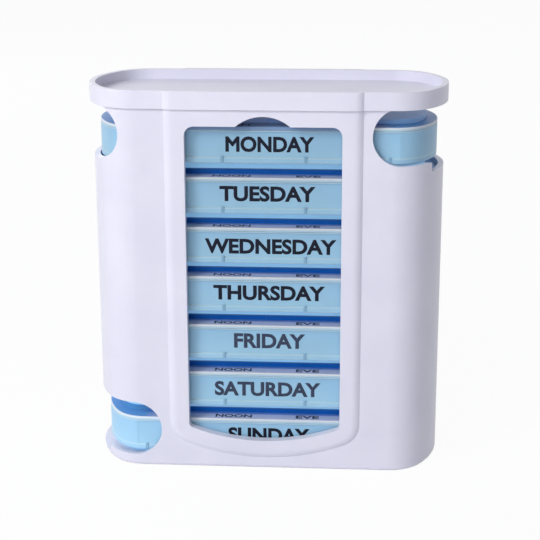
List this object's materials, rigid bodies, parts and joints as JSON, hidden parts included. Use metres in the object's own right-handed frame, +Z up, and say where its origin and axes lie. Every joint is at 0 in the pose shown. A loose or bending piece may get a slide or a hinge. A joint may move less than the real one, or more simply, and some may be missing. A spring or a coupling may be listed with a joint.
{
  "type": "weekly pill drawer organizer",
  "caption": "Upright case holding a stack of translucent day trays with lidded compartments, seen through a front window, with end openings and a recessed cover.",
  "frame": {"origin": "middle of the case's underside", "axes": "+X along the trays towards the upper exit, -Y out of the window, +Z up"},
  "size_m": [0.115, 0.0524, 0.1244],
  "materials": {
    "case_shell": "satin white",
    "cover_shell": "satin white",
    "tray_body": "translucent pale blue",
    "tray_lid": "translucent blue",
    "lettering": "printed ink"
  },
  "bodies": {
    "case": {"case_body": "case_shell", "tray_tuesday": "tray_body", "lid_tuesday_morn": "tray_lid", "lid_tuesday_noon": "tray_lid", "lid_tuesday_eve": "tray_lid", "lid_tuesday_bed": "tray_lid", "tray_wednesday": "tray_body", "lid_wednesday_morn": "tray_lid", "lid_wednesday_noon": "tray_lid", "lid_wednesday_eve": "tray_lid", "lid_wednesday_bed": "tray_lid", "tray_thursday": "tray_body", "lid_thursday_morn": "tray_lid", "lid_thursday_noon": "tray_lid", "lid_thursday_eve": "tray_lid", "lid_thursday_bed": "tray_lid", "tray_friday": "tray_body", "lid_friday_morn": "tray_lid", "lid_friday_noon": "tray_lid", "lid_friday_eve": "tray_lid", "lid_friday_bed": "tray_lid", "tray_saturday": "tray_body", "lid_saturday_morn": "tray_lid", "lid_saturday_noon": "tray_lid", "lid_saturday_eve": "tray_lid", "lid_saturday_bed": "tray_lid"},
    "monday_tray": {"tray_monday": "tray_body", "lid_monday_morn": "tray_lid", "lid_monday_noon": "tray_lid", "lid_monday_eve": "tray_lid", "lid_monday_bed": "tray_lid"},
    "sunday_tray": {"tray_sunday": "tray_body", "lid_sunday_morn": "tray_lid", "lid_sunday_noon": "tray_lid", "lid_sunday_eve": "tray_lid", "lid_sunday_bed": "tray_lid"},
    "cover": {"top_cover": "cover_shell"}
  },
  "joints": [
    {"name": "monday_tray_slide", "type": "slide", "parent": "case", "child": "monday_tray", "axis": [1, 0, 0], "range_m": [0, 0.112]},
    {"name": "sunday_tray_slide", "type": "slide", "parent": "case", "child": "sunday_tray", "axis": [-1, 0, 0], "range_m": [0, 0.112]},
    {"name": "cover_lift", "type": "slide", "parent": "case", "child": "cover", "axis": [0, 0, 1], "range_m": [0, 0.03]}
  ]
}
